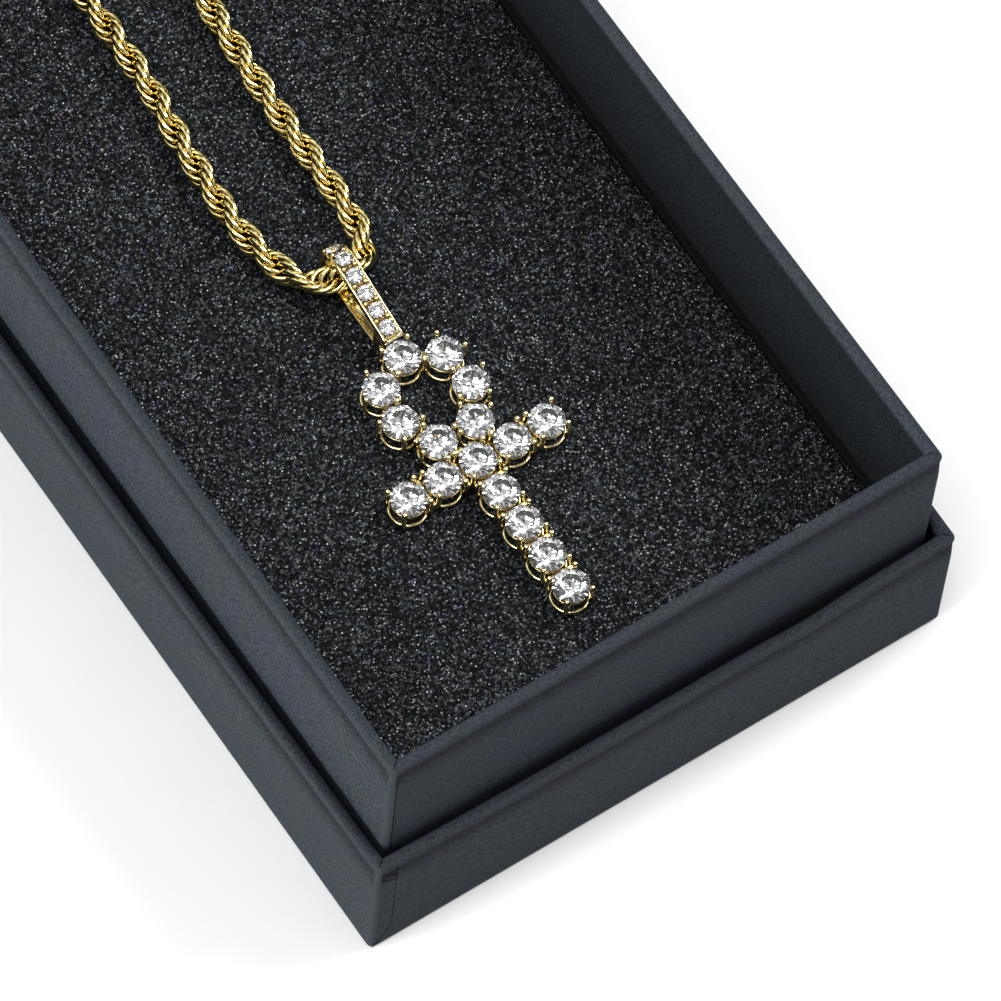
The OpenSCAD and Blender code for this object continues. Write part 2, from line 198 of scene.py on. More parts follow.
# Points of the route between which the links are fine, and steps round a link and round its wire
FINE_FROM = 25
FINE_TO = 59
FINE_LINK = (36, 10)
PLAIN_LINK = (14, 5)
LINK_SPACING = 0.84
LINK_HALF_W = 1.21
LINK_HALF_L = 1.64
LINK_WIRE = 0.3
# Length of one turn of the rope, and its turn at the start in radians; through the bail it takes up
# an extra turn, spread over a span about one point of the route
ROPE_PITCH = 9.4
ROPE_START = 1.6
BEND_POINT = 42
BEND_TWIST = -1.35
BEND_SPAN = 10.0

# Turns of the prongs about each seat, from +X, in degrees
STRAIGHT_TURN = 45.0
LOOP_TURNS = {
    "loop_stone_1": 45.0,
    "loop_stone_2": -12.0,
    "loop_stone_3": 24.0,
    "loop_stone_4": 12.0,
    "loop_stone_5": 11.0,
    "loop_stone_6": -24.0,
    "loop_stone_7": 11.0,
}
# Straight rows of settings, and the loop, each setting joined to the next by a web
ROWS = [
    ["centre_stone", "right_arm_stone_1", "right_arm_stone_2"],
    ["centre_stone", "left_arm_stone_1", "left_arm_stone_2"],
    ["centre_stone", "stem_stone_1", "stem_stone_2", "stem_stone_3", "stem_stone_4"],
]
LOOP_ROW = [
    "centre_stone", "loop_stone_4", "loop_stone_3", "loop_stone_2", "loop_stone_1",
    "loop_stone_5", "loop_stone_6", "loop_stone_7", "centre_stone",
]
LARGE_STONES = sorted({name for row in ROWS + [LOOP_ROW] for name in row})
BAIL_STONES = ["bail_stone_%d" % i for i in range(1, 8)]

# Foam pad: step of its mesh, pits, slow waves (two frequencies and two phases each) and soft edge
FOAM_STEP = 0.4
FOAM_SINK = 0.03
PIT_DEPTH = 0.22
WAVE_DEPTH = 0.03
WAVES = [(0.31, 0.27, 0.4, 1.1), (0.83, 0.71, 2.0, 0.3)]
PAD_EDGE_DROP = 0.5
PAD_EDGE_REACH = 0.7
DENT_DEPTH = 0.12
DENT_R = 1.6
DENT_FADE = 0.9
PAD_WALL_ROWS = 5

# Box walls: inset and height at the foot, then inset and depth below the top over the rim, with
# the hollow under the turned paper, and down the inside
BOX_CORNER_R = 0.7
LEAST_CORNER_R = 0.05
CORNER_STEPS = 5
LONG_SIDE_STEPS = 72
SHORT_SIDE_STEPS = 44
SIDE_POWER = 1.6
FOOT = [(0.35, 0.0), (0.1, 0.1), (0.0, 0.35)]
RIM = [
    (0.0, 4.6), (0.02, 3.8), (0.06, 2.8), (0.11, 2.0), (0.13, 1.5), (0.12, 1.2), (0.06, 0.85),
    (0.03, 0.6), (0.04, 0.4), (0.14, 0.17), (0.36, 0.03), (0.62, 0.0),
]
INNER_RIM = [
    (BOARD_T - 0.75, 0.0), (BOARD_T - 0.45, 0.05), (BOARD_T - 0.2, 0.22), (BOARD_T - 0.05, 0.5),
    (BOARD_T, 0.9),
]
# Even rows between foot and rim: outside from a height to a depth, inside from a depth to a height
OUTER_FROM = 1.2
OUTER_TO = 5.0
OUTER_ROWS = 18
INNER_FROM = 1.5
INNER_TO = 0.2
INNER_ROWS = 14
# How far the lid's rim stands out, and the wave in its near side
LID_BOW = 0.45
LID_WAVE = 0.3
LID_WAVE_AT = 0.5
LID_WAVE_W = 0.14
NEAR_SIDE = 3
# Seams: section as share of the half width and height off the face
SEAM_SECTION = ((-1, -0.02), (-0.6, 0.03), (0.6, 0.03), (1, -0.02))
SEAM_W = 0.16
FINE_SEAM_W = 0.13
CREASE_W = 0.09
# Lid's corner seam: its gap at the foot and the rim, and how far it curves in, up to what height
LID_SEAM_GAPS = (0.3, 0.5)
LID_SEAM_ROWS = 30
LID_SEAM_IN = 2.4
LID_SEAM_H = 5
# Folds by the lid's near left corner: each end's distance from the corner and below the rim
FOLDS = [((0.4, 1.2), (2.3, 2.6)), ((0.5, 2.3), (2.3, 3.7))]
# Tray's corner seam: distance from the corner, start below the lid's rim, end below its own
TRAY_SEAM = (0.75, 1, 2.4)
# Seams across the rims, from the outer edge to the inner one
MITRE = (0.55, BOARD_T - 0.3)
# Crease in the lid's near side: x and height
CREASE = [(21.4, 16.6), (23.0, 14.75), (24.2, 14.2), (26, 13.95)]

# Painted shade on the paper over its last few millimetres up to the rim, as share of the way and
# shade; inside the box it ends at this height, as painted shade just over the pad
HOLLOW_DEPTH = 4.5
HOLLOW_PAINTED_SHADE = [
    (0.0, 1.0), (0.35, 0.75), (0.64, 0.45), (0.82, 0.5), (0.92, 1.0), (0.97, 0.95), (1.0, 1.0),
]
INNER_PAINTED_SHADE_TOP = 18.0

# Floor: half its side, and how far it lies under the box
FLOOR_HALF = 4000
FLOOR_GAP = 0.02
# Direction in which the studio dome is dimmer
DIM_TOWARDS = (-0.3, -0.35, 0.89)
# Soft lights: azimuth and elevation in degrees, distance and size in metres, power and colour
LIGHTS = {
    "key_light": (95, 52, 1.7, (0.7, 0.7), 17.0, (1, 1, 1)),
    "top_light": (-100, 75, 1.7, (0.7, 0.7), 13.0, (1, 1, 1)),
    "fill_light": (-85, 14, 1.8, (0.9, 0.5), 38.0, (0.97, 1.0, 0.97)),
}


# Mesh building

class Build:
    """Collects points and faces of one piece."""

    def __init__(self):
        self.points = []
        self.faces = []
        self.count = 0

    def add(self, points, faces):
        """Adds points, and faces that count from the first of them."""
        points = np.asarray(points, dtype=float).reshape(-1, 3)
        self.points.append(points)
        for face in faces:
            self.faces.append([int(i) + self.count for i in face])
        self.count += len(points)

    def grid(self, points, wrap_rows=False, wrap_cols=False, flip=False):
        """Adds a grid of points, rows by columns, as quads."""
        points = np.asarray(points, dtype=float)
        rows, cols = points.shape[:2]
        self.add(points, grid_quads(rows, cols, wrap_rows, wrap_cols, flip))

    def piece(self, name, material, smooth=True):
        """Makes the object, in metres."""
        mesh = bpy.data.meshes.new(name)
        mesh.from_pydata((np.concatenate(self.points) * MM).tolist(), [], self.faces)
        mesh.polygons.foreach_set("use_smooth", [smooth] * len(mesh.polygons))
        mesh.materials.append(material)
        mesh.update()
        made = bpy.data.objects.new(name, mesh)
        bpy.context.scene.collection.objects.link(made)
        return made


def grid_quads(rows, cols, wrap_rows=False, wrap_cols=False, flip=False):
    """Quads of a grid of points; flip turns them over."""
    i = np.arange(rows if wrap_rows else rows - 1)[:, None]
    j = np.arange(cols if wrap_cols else cols - 1)[None, :]
    a = i * cols + j
    b = i * cols + (j + 1) % cols
    c = ((i + 1) % rows) * cols + (j + 1) % cols
    d = ((i + 1) % rows) * cols + j
    order = (a, d, c, b) if flip else (a, b, c, d)
    return np.stack([np.broadcast_to(part, d.shape) for part in order], axis=-1).reshape(-1, 4)


def ring(centre, u, w, mean_r, wire_r, around, across):
    """Points of a torus whose circle lies in the plane of u and w."""
    centre, u, w = (np.asarray(v, dtype=float) for v in (centre, u, w))
    n = np.cross(u, w)
    phi = np.linspace(0, 2 * math.pi, around, endpoint=False)[:, None, None]
    psi = np.linspace(0, 2 * math.pi, across, endpoint=False)[None, :, None]
    out = np.cos(phi) * u + np.sin(phi) * w
    return centre + out * (mean_r + wire_r * np.cos(psi)) + n * (wire_r * np.sin(psi))


def lathe(x, y, profile, sides, lean=None):
    """Rings round an upright axis; profile is (radius, z), lean shifts each ring in x and y."""
    angle = np.linspace(0, 2 * math.pi, sides, endpoint=False)
    rows = []
    for k, (r, z) in enumerate(profile):
        sx, sy = lean[k] if lean else (0.0, 0.0)
        at_x = x + sx + r * np.cos(angle)
        at_y = y + sy + r * np.sin(angle)
        rows.append(np.stack([at_x, at_y, np.full(sides, z)], axis=1))
    return np.array(rows)


def rounded_outline(half_w, half_l, r, steps):
    """Points round a rounded rectangle, anticlockwise, with steps along each corner."""
    points = []
    corners = [(1, 1, 0), (-1, 1, 90), (-1, -1, 180), (1, -1, 270)]
    for sx, sy, start in corners:
        for k in range(steps + 1):
            a = math.radians(start + 90 * k / steps)
            x = sx * (half_w - r) + r * math.cos(a)
            y = sy * (half_l - r) + r * math.sin(a)
            points.append((x, y))
    return np.array(points)


def soft_block(build, centre, half_w, half_l, z0, z1, turn, bevel):
    """Block with rounded upright corners and rounded top and bottom edges."""
    part = BEVEL_PART * bevel
    levels = [(bevel, z0), (part, z0 + part), (0, z0 + bevel)]
    levels += [(0, z1 - bevel), (part, z1 - part), (bevel, z1)]
    c, s = math.cos(turn), math.sin(turn)
    rows = []
    for inset, z in levels:
        corner = max(bevel - inset, LEAST_BEVEL)
        flat = rounded_outline(half_w - inset, half_l - inset, corner, BEVEL_STEPS)
        x = centre[0] + c * flat[:, 0] - s * flat[:, 1]
        y = centre[1] + s * flat[:, 0] + c * flat[:, 1]
        rows.append(np.stack([x, y, np.full(len(flat), z)], axis=1))
    closed_wall(build, rows)


def closed_wall(build, rows):
    """Adds closed rings of points, one over the other, with a flat face at either end."""
    n = len(rows[0])
    faces = list(grid_quads(len(rows), n, wrap_cols=True))
    faces.append(range(n - 1, -1, -1))
    faces.append(range(n * (len(rows) - 1), n * len(rows)))
    build.add(rows, faces)


def turns(steps):
    """Angles of evenly spaced points round a circle."""
    return [2 * math.pi * k / steps for k in range(steps)]


def clamp(value):
    """Value held between 0 and 1."""
    return min(max(value, 0.0), 1.0)


# Materials

class Look:
    """Node tree of a material or of the world."""

    def __init__(self, tree):
        self.tree = tree

    def new(self, kind):
        """New node."""
        return self.tree.nodes.new(kind)

    def join(self, output, socket):
        """Wires an output to a socket."""
        self.tree.links.new(output, socket)

    def position(self):
        """Object coordinates in metres."""
        return self.new("ShaderNodeTexCoord").outputs["Object"]

    def noise(self, vector, scale, detail=3.0, roughness=0.55):
        """Share between 0 and 1 that varies over the surface."""
        node = self.new("ShaderNodeTexNoise")
        node.inputs["Scale"].default_value = scale
        node.inputs["Detail"].default_value = detail
        node.inputs["Roughness"].default_value = roughness
        self.join(vector, node.inputs["Vector"])
        return node.outputs["Fac"]

    def ramp(self, value, stops):
        """Colour ramp over a value; a stop is its place and its colour."""
        node = self.new("ShaderNodeValToRGB")
        elements = node.color_ramp.elements
        while len(elements) < len(stops):
            elements.new(0.5)
        for element, (at, colour) in zip(elements, stops):
            element.position = at
            element.color = (*colour, 1.0)
        self.join(value, node.inputs["Fac"])
        return node.outputs["Color"]

    def bump(self, height, strength, distance, normal=None):
        """Normal of a surface with this height, over an earlier normal where there is one."""
        node = self.new("ShaderNodeBump")
        node.inputs["Strength"].default_value = strength
        node.inputs["Distance"].default_value = distance
        self.join(height, node.inputs["Height"])
        if normal is not None:
            self.join(normal, node.inputs["Normal"])
        return node.outputs["Normal"]

    def multiply(self, a, b):
        """Colour a times colour b."""
        mix = self.new("ShaderNodeMix")
        mix.data_type = "RGBA"
        mix.blend_type = "MULTIPLY"
        mix.inputs["Factor"].default_value = 1.0
        self.join(a, mix.inputs["A"])
        self.join(b, mix.inputs["B"])
        return mix.outputs["Result"]

    def blend_over(self, share, a):
        """Mix node that goes from colour a to its second colour by a share."""
        mix = self.new("ShaderNodeMix")
        mix.data_type = "RGBA"
        self.join(share, mix.inputs["Factor"])
        self.join(a, mix.inputs["A"])
        return mix


def new_material(name):
    """New material with its look and its shader."""
    material = bpy.data.materials.new(name)
    material.use_nodes = True
    tree = material.node_tree
    return material, Look(tree), tree.nodes["Principled BSDF"]


def grey(value):
    """Neutral colour."""
    return (value, value, value)


def gold_material(name, base, stain, roughness, reach):
    """Polished gold plate, lightly stained, with painted shade within reach of other metal."""
    material, look, shader = new_material(name)
    shader.inputs["Metallic"].default_value = 1.0
    shader.inputs["Roughness"].default_value = roughness
    vector = look.position()
    tone = look.noise(vector, scale=900.0)
    colours = look.ramp(tone, [(0.3, stain), (0.62, base)])
    # Painted shade: where ambient occlusion finds other metal within reach, between links, wires and
    # settings, the base colour turns dark brown.
    painted_shade_ao = look.new("ShaderNodeAmbientOcclusion")
    painted_shade_ao.samples = 6
    painted_shade_ao.inputs["Distance"].default_value = reach * MM
    depth = look.ramp(painted_shade_ao.outputs["AO"], [
        (0.3, (0.17, 0.09, 0.006)), (0.58, (0.66, 0.5, 0.19)), (0.82, grey(1.0)),
    ])
    look.join(look.multiply(colours, depth), shader.inputs["Base Color"])
    fine = look.noise(vector, scale=5000.0, detail=2.0)
    normal = look.bump(fine, strength=0.05, distance=0.02 * MM)
    look.join(normal, shader.inputs["Normal"])
    return material


def stone_material(name, tint):
    """Clear stone, faintly clouded."""
    material, look, shader = new_material(name)
    shader.inputs["Roughness"].default_value = 0.0
    shader.inputs["IOR"].default_value = 2.15
    shader.inputs["Transmission Weight"].default_value = 0.95
    cloud = look.noise(look.position(), scale=300.0, detail=2.0)
    light = tuple(min(1.0, c * 1.02) for c in tint)
    colours = look.ramp(cloud, [(0.4, tint), (0.6, light)])
    look.join(colours, shader.inputs["Base Color"])
    return material


def paper_material(name, base, cool, worn, rim):
    """Matte wrap paper: mottled in two tints, finely grained, worn along its edges, and darker by
    painted shade in the hollow under a rim at this height."""
    material, look, shader = new_material(name)
    shader.inputs["Roughness"].default_value = 0.62
    shader.inputs["Specular IOR Level"].default_value = 0.02
    vector = look.position()
    tone = look.noise(vector, scale=320.0, detail=5.0, roughness=0.62)
    colours = look.ramp(tone, [(0.4, base), (0.6, cool)])
    grain = look.noise(vector, scale=3900.0, detail=2.0)
    speckle = look.ramp(grain, [(0.38, grey(0.62)), (0.62, grey(1.38))])
    grained = look.multiply(colours, speckle)
    geometry = look.new("ShaderNodeNewGeometry")
    rub = look.ramp(geometry.outputs["Pointiness"], [(0.515, grey(0.0)), (0.56, grey(1.0))])
    # Painted shade: the colour darkens over the last few millimetres below the rim height.
    height = look.new("ShaderNodeSeparateXYZ")
    look.join(vector, height.inputs["Vector"])
    near_rim = look.new("ShaderNodeMapRange")
    near_rim.inputs["From Min"].default_value = (rim - HOLLOW_DEPTH) * MM
    near_rim.inputs["From Max"].default_value = rim * MM
    look.join(height.outputs["Z"], near_rim.inputs["Value"])
    painted_shades = [(at, grey(shade)) for at, shade in HOLLOW_PAINTED_SHADE]
    hollow = look.ramp(near_rim.outputs["Result"], painted_shades)
    mix = look.blend_over(rub, look.multiply(grained, hollow))
    mix.inputs["B"].default_value = (*worn, 1.0)
    look.join(mix.outputs["Result"], shader.inputs["Base Color"])
    grainy = look.bump(grain, strength=0.3, distance=0.06 * MM)
    wave = look.noise(vector, scale=70.0, detail=2.0)
    normal = look.bump(wave, strength=0.2, distance=0.8 * MM, normal=grainy)
    look.join(normal, shader.inputs["Normal"])
    return material


def foam_material(name):
    """Black cellular foam with dark pits and fine sparkling specks of several tints."""
    material, look, shader = new_material(name)
    shader.inputs["Specular IOR Level"].default_value = 0.08
    vector = look.position()
    cells = look.noise(vector, scale=2900.0, roughness=0.7)
    base = look.ramp(cells, [
        (0.4, grey(0.001)), (0.5, (0.0055, 0.0067, 0.0076)), (0.58, (0.021, 0.0245, 0.027)),
        (0.7, (0.12, 0.13, 0.137)),
    ])
    patches = look.noise(vector, scale=85.0)
    patch_tones = look.ramp(patches, [
        (0.36, (0.82, 0.83, 0.84)), (0.66, (1.1, 1.12, 1.1)),
    ])
    toned = look.multiply(base, patch_tones)
    specks = look.new("ShaderNodeTexVoronoi")
    specks.inputs["Scale"].default_value = 4500.0
    look.join(vector, specks.inputs["Vector"])
    near = look.ramp(specks.outputs["Distance"], [(0.3, grey(1.0)), (0.5, grey(0.0))])
    split = look.new("ShaderNodeSeparateColor")
    look.join(specks.outputs["Color"], split.inputs["Color"])
    rare = look.ramp(split.outputs["Red"], [
        (0.76, grey(0.0)), (0.84, grey(0.35)), (0.97, grey(1.0)),
    ])
    chosen = look.new("ShaderNodeMath")
    chosen.operation = "MULTIPLY"
    look.join(near, chosen.inputs[0])
    look.join(rare, chosen.inputs[1])
    tints = look.ramp(split.outputs["Green"], [
        (0.0, (0.62, 0.65, 0.67)), (0.45, (0.28, 0.3, 0.32)), (0.76, (0.14, 0.17, 0.29)),
        (0.88, (0.2, 0.13, 0.23)), (0.95, (0.26, 0.2, 0.14)),
    ])
    mix = look.blend_over(chosen.outputs["Value"], toned)
    look.join(tints, mix.inputs["B"])
    look.join(mix.outputs["Result"], shader.inputs["Base Color"])
    shine = look.ramp(chosen.outputs["Value"], [(0.0, grey(0.8)), (1.0, grey(0.35))])
    look.join(shine, shader.inputs["Roughness"])
    normal = look.bump(cells, strength=0.6, distance=0.2 * MM)
    look.join(normal, shader.inputs["Normal"])
    return material


def floor_material(name):
    """Pale paper sweep, slightly uneven in tone."""
    material, look, shader = new_material(name)
    shader.inputs["Roughness"].default_value = 0.7
    shader.inputs["Specular IOR Level"].default_value = 0.2
    tone = look.noise(look.position(), scale=40.0)
    colours = look.ramp(tone, [(0.3, grey(0.79)), (0.7, grey(0.82))])
    look.join(colours, shader.inputs["Base Color"])
    return material


# Pendant

def seat_of(node):
    """Centre of a large stone's seat, from its box."""
    lo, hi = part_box(node)
    return ((lo.x + hi.x) / 2 / MM, (lo.y + hi.y) / 2 / MM)


def prong(build, x, y, turn):
    """Round prong with a ball at its tip, leaning a little over the stone."""
    c, s = math.cos(turn), math.sin(turn)
    shape = list(PRONG_STEM)
    for k in range(1, BALL_STEPS + 1):
        a = math.radians(BALL_FROM + BALL_SWEEP * k / BALL_STEPS)
        radius = max(PRONG_BALL * math.cos(a), BALL_TIP_R)
        shape.append((radius, BALL_Z + PRONG_BALL * math.sin(a), BALL_LEAN))
    profile = [(r, z) for r, z, lean in shape]
    leans = [(-lean * c, -lean * s) for r, z, lean in shape]
    rows = lathe(x + PRONG_R * c, y + PRONG_R * s, profile, PRONG_SIDES, leans)
    build.grid(rows, wrap_cols=True)


def flat_torus(build, x, y, mean_r, wire_r, z):
    """Ring of wire that lies flat."""
    rows = ring((x, y, z), (1, 0, 0), (0, 1, 0), mean_r, wire_r, *RING_STEPS)
    build.grid(rows, wrap_rows=True, wrap_cols=True)


def ankh_metal(material):
    """All metal of the ankh: settings, webs between them, and the eye with its post."""
    build = Build()
    for name in LARGE_STONES:
        x, y = seat_of(name)
        turn = math.radians(LOOP_TURNS.get(name, STRAIGHT_TURN))
        flat_torus(build, x, y, *BASE_RING)
        flat_torus(build, x, y, *SEAT_RING)
        for k in range(4):
            prong(build, x, y, turn + k * math.pi / 2)
    for row, width in [(row, STRAIGHT_WEB_W) for row in ROWS] + [(LOOP_ROW, LOOP_WEB_W)]:
        for a, b in zip(row, row[1:]):
            (ax, ay), (bx, by) = seat_of(a), seat_of(b)
            middle = ((ax + bx) / 2, (ay + by) / 2)
            turn = math.atan2(by - ay, bx - ax)
            half_t, half_w = WEB_T / 2, width / 2
            soft_block(build, middle, half_t, half_w, WEB_FOOT, WEB_TOP, turn, WEB_ROUND)
    eye = ring(EYE_AT, (0, 1, 0), (0, 0, 1), EYE_MEAN_R, EYE_WIRE, *EYE_STEPS)
    build.grid(eye, wrap_rows=True, wrap_cols=True)
    post_y0 = seat_of("loop_stone_1")[1] + SEAT_RING[0]
    post_y1 = EYE_AT[1] - EYE_MEAN_R
    middle = (EYE_AT[0], (post_y0 + post_y1) / 2)
    half_l = (post_y1 - post_y0) / 2 + POST_OVERLAP
    soft_block(build, middle, EYE_WIRE, half_l, EYE_AT[2], WEB_TOP, 0.0, POST_ROUND)
    return build.piece("ankh_metal", material)


# Bail

def bail_point(u, x, n):
    """Point of the bail's band: u along its outer face, x across, n out of the face."""
    rise = math.radians(BAIL_RISE)
    if u <= 0:
        y = u * math.cos(rise) - (BAIL_TOP_R + n) * math.sin(rise)
        z = u * math.sin(rise) + (BAIL_TOP_R + n) * math.cos(rise)
    else:
        a = rise - u / BAIL_TOP_R
        y = -(BAIL_TOP_R + n) * math.sin(a)
        z = (BAIL_TOP_R + n) * math.cos(a)
    return (BAIL_X + x, BAIL_CENTRE_Y + y, BAIL_CENTRE_Z + z)


def face_height(u_share, x):
    """Height of the bail's outer face: rails along its sides, and a valley between two stones."""
    d = abs(x)
    rail = RAIL_H * math.sin(clamp((d - RAIL_FROM) / RAIL_SLOPE) * math.pi / 2)
    valley = VALLEY_DEPTH * u_share ** 2 * max(1 - (d / VALLEY_HALF_W) ** 4, 0.0)
    return rail - FACE_SINK - valley


def bail_tile(build, u0):
    """Outer face round one small stone, with the bore that holds it."""
    half_u = SEAT_PITCH / 2
    half_x = BAIL_W / 2 - LIP_W
    rows = []
    for share in TILE_RINGS:
        row = []
        for a in turns(TILE_STEPS):
            c, s = math.cos(a), math.sin(a)
            m = max(abs(c), abs(s))
            u = (1 - share) * TILE_HOLE_R * c + share * half_u * c / m
            x = (1 - share) * TILE_HOLE_R * s + share * half_x * s / m
            row.append(bail_point(u0 + u, x, face_height(abs(u) / half_u, x)))
        rows.append(row)
    for r, n in BORE:
        row = [bail_point(u0 + r * math.cos(a), r * math.sin(a), n) for a in turns(TILE_STEPS)]
        rows.append(row)
    build.grid(rows, wrap_cols=True)


def bail_end(build):
    """Low end of the front strip, past the last small stone."""
    half_x = BAIL_W / 2 - LIP_W
    tile_end = FIRST_SEAT - SEAT_PITCH / 2
    edge = np.linspace(-1, 1, END_COLS) * half_x
    levels = [
        (tile_end, 1.0, 0.0),
        (-BAIL_FRONT_L + BAND_ROUND, END_VALLEY, 0.0),
        (-BAIL_FRONT_L, END_VALLEY, BAND_ROUND),
        (-BAIL_FRONT_L, END_VALLEY, BAIL_T),
    ]
    rows = []
    for u, share, drop in levels:
        rows.append([bail_point(u, x, face_height(share, x) - drop) for x in edge])
    build.grid(rows, flip=True)


def narrowing(u, plain_from, arc_end):
    """How far u lies along the band's plain stretch, and half the band's width there."""
    share = clamp((u - plain_from) / (arc_end - plain_from))
    return share, (BAIL_W + share * (BAIL_BACK_W - BAIL_W)) / 2


def bail_band(build):
    """Sides and inner face of the band, then its plain stretch over the top and down to the back."""
    arc_end = BAIL_TOP_R * math.radians(180 + BAIL_RISE)
    plain_from = FIRST_SEAT + (len(BAIL_STONES) - 0.5) * SEAT_PITCH
    straight_part = np.linspace(-BAIL_FRONT_L, 0, FRONT_STEPS)
    round_part = np.linspace(0, plain_from, FRONT_STEPS)
    plain = np.linspace(plain_from, arc_end, PLAIN_STEPS)
    rows = []
    for u in np.concatenate([straight_part, round_part[1:], plain[1:]]):
        share, half_w = narrowing(u, plain_from, arc_end)
        t = BAIL_T + share * (BAIL_BACK_T - BAIL_T)
        half = [(half_w - BAND_ROUND, -t), (half_w, -t + BAND_ROUND), (half_w, 0.0)]
        half.append((half_w - LIP_W, LIP_H))
        outline = [(-x, n) for x, n in reversed(half)] + half
        rows.append([bail_point(u, x, n) for x, n in outline])
    build.grid(rows, flip=True)
    top = []
    for u in plain:
        share, half_w = narrowing(u, plain_from, arc_end)
        fading = 1.0 - min(2 * share, 1.0)
        row = []
        for x in np.linspace(-1, 1, PLAIN_COLS) * (half_w - LIP_W):
            n = face_height(fading, x) * (1 - share) + LIP_H * share
            row.append(bail_point(u, x, n))
        top.append(row)
    build.grid(top)


def beads(build):
    """Two beads in each valley between the small stones."""
    for i in range(len(BAIL_STONES) - 1):
        for side in (-1, 1):
            u = FIRST_SEAT + (i + 0.5) * SEAT_PITCH
            x, y, z = bail_point(u, side * BEAD_X, -BEAD_SINK)
            arc = np.linspace(-BEAD_ARC, BEAD_ARC, BEAD_STEPS)
            profile = [(BEAD_R * math.cos(a), z + BEAD_R * math.sin(a)) for a in arc]
            build.grid(lathe(x, y, profile, BEAD_SIDES), wrap_cols=True)


def bail_metal(material):
    """All metal of the bail, with the pin through the frame's eye."""
    build = Build()
    for i in range(len(BAIL_STONES)):
        bail_tile(build, FIRST_SEAT + i * SEAT_PITCH)
    bail_band(build)
    bail_end(build)
    beads(build)
    back_y0 = HEEL_Y + HEEL_SLOT_L
    middle = (BAIL_X, (back_y0 + BAIL_CENTRE_Y) / 2)
    half_l = (BAIL_CENTRE_Y - back_y0) / 2
    top = BAIL_FOOT_Z + BAIL_BACK_T
    soft_block(build, middle, BAIL_BACK_W / 2, half_l, BAIL_FOOT_Z, top, 0.0, BAIL_BACK_ROUND)
    heel(build)
    pin(build, EYE_AT, PIN_R, EAR_OUT + PIN_PROUD)
    return build.piece("bail_metal", material)


def pin(build, centre, r, half_l):
    """Rounded pin along x."""
    half = [(half_l - PIN_ROUND, r), (half_l, r - PIN_ROUND), (half_l, PIN_POLE_R)]
    rows = []
    for x, radius in [(-x, radius) for x, radius in reversed(half)] + half:
        row = []
        for a in turns(PIN_SIDES):
            y = centre[1] + radius * math.cos(a)
            z = centre[2] + radius * math.sin(a)
            row.append((centre[0] + x, y, z))
        rows.append(row)
    build.grid(rows, wrap_cols=True)


def heel(build):
    """Two ears under the band's low end, and the solid foot behind them."""
    rise = math.radians(BAIL_RISE)
    inner_face = (BAIL_TOP_R - BAIL_T) / math.cos(rise) - (BAIL_CENTRE_Y - HEEL_Y) * math.tan(rise)
    low = BAIL_CENTRE_Z + inner_face + EAR_REACH
    high = low + HEEL_L * math.tan(rise)
    back = [(HEEL_L, BAIL_FOOT_Z), (HEEL_L, high)]
    ear = [(EAR_FOOT_Y, BAIL_FOOT_Z)] + back + [(0.0, low), (0.0, EAR_FRONT_Z)]
    foot = [(HEEL_SLOT_L, BAIL_FOOT_Z)] + back + [(HEEL_SLOT_L, high - HEEL_SLOT_DROP)]
    solids = [(-EAR_OUT, -EAR_IN, ear), (EAR_IN, EAR_OUT, ear), (-EAR_IN, EAR_IN, foot)]
    for x0, x1, shape in solids:
        points = [(BAIL_X + x, HEEL_Y + y, z) for x in (x0, x1) for y, z in shape]
        n = len(shape)
        faces = [list(range(n)), list(range(2 * n - 1, n - 1, -1))]
        for k in range(n):
            m = (k + 1) % n
            faces.append([k, n + k, n + m, m])
        build.add(points, faces)


# Rope chain

def smooth_route(points, step):
    """Points at even steps along a smooth curve through the route, how far along it each lies, and
    how far along it each of the route's own points lies."""
    points = np.array(points, dtype=float)
    chord = np.linalg.norm(np.diff(points, axis=0), axis=1)
    slopes = np.diff(points, axis=0) / chord[:, None]
    tangents = np.empty_like(points)
    tangents[0] = slopes[0]
    tangents[-1] = slopes[-1]
    before, after = chord[:-1, None], chord[1:, None]
    tangents[1:-1] = (slopes[:-1] * after + slopes[1:] * before) / (after + before)
    t = np.linspace(0, 1, STEPS_PER_SPAN, endpoint=False)[:, None]
    parts = []
    for i, h in enumerate(chord):
        parts.append(
            (2 * t**3 - 3 * t**2 + 1) * points[i] + (t**3 - 2 * t**2 + t) * h * tangents[i]
            + (-2 * t**3 + 3 * t**2) * points[i + 1] + (t**3 - t**2) * h * tangents[i + 1]
        )
    dense = np.concatenate(parts + [points[-1:]])
    along = np.concatenate([[0], np.cumsum(np.linalg.norm(np.diff(dense, axis=0), axis=1))])
    knots = along[::STEPS_PER_SPAN]
    count = int(along[-1] / step) + 1
    at = np.linspace(0, along[-1], count)
    curve = np.stack([np.interp(at, along, dense[:, k]) for k in range(3)], axis=1)
    return curve, at, knots


def carried_sides(curve):
    """Tangents and side vectors along the curve, each side carried on from the one before."""
    tangents = np.gradient(curve, axis=0)
    tangents /= np.linalg.norm(tangents, axis=1)[:, None]
    sides = np.empty_like(tangents)
    side = np.array([0.0, 0.0, 1.0])
    for i, t in enumerate(tangents):
        side = side - side.dot(t) * t
        side /= np.linalg.norm(side)
        sides[i] = side
    return tangents, sides


def link(centre, u, t, around, across):
    """One oval link, half its width along u and half its length along t."""
    n = np.cross(u, t)
    phi = np.linspace(0, 2 * math.pi, around, endpoint=False)[:, None, None]
    psi = np.linspace(0, 2 * math.pi, across, endpoint=False)[None, :, None]
    heading = -np.sin(phi) * LINK_HALF_W * u + np.cos(phi) * LINK_HALF_L * t
    out = np.cross(heading / np.linalg.norm(heading, axis=-1, keepdims=True), n)
    middle = centre + np.cos(phi) * LINK_HALF_W * u + np.sin(phi) * LINK_HALF_L * t
    return middle + LINK_WIRE * (np.cos(psi) * out + np.sin(psi) * n)


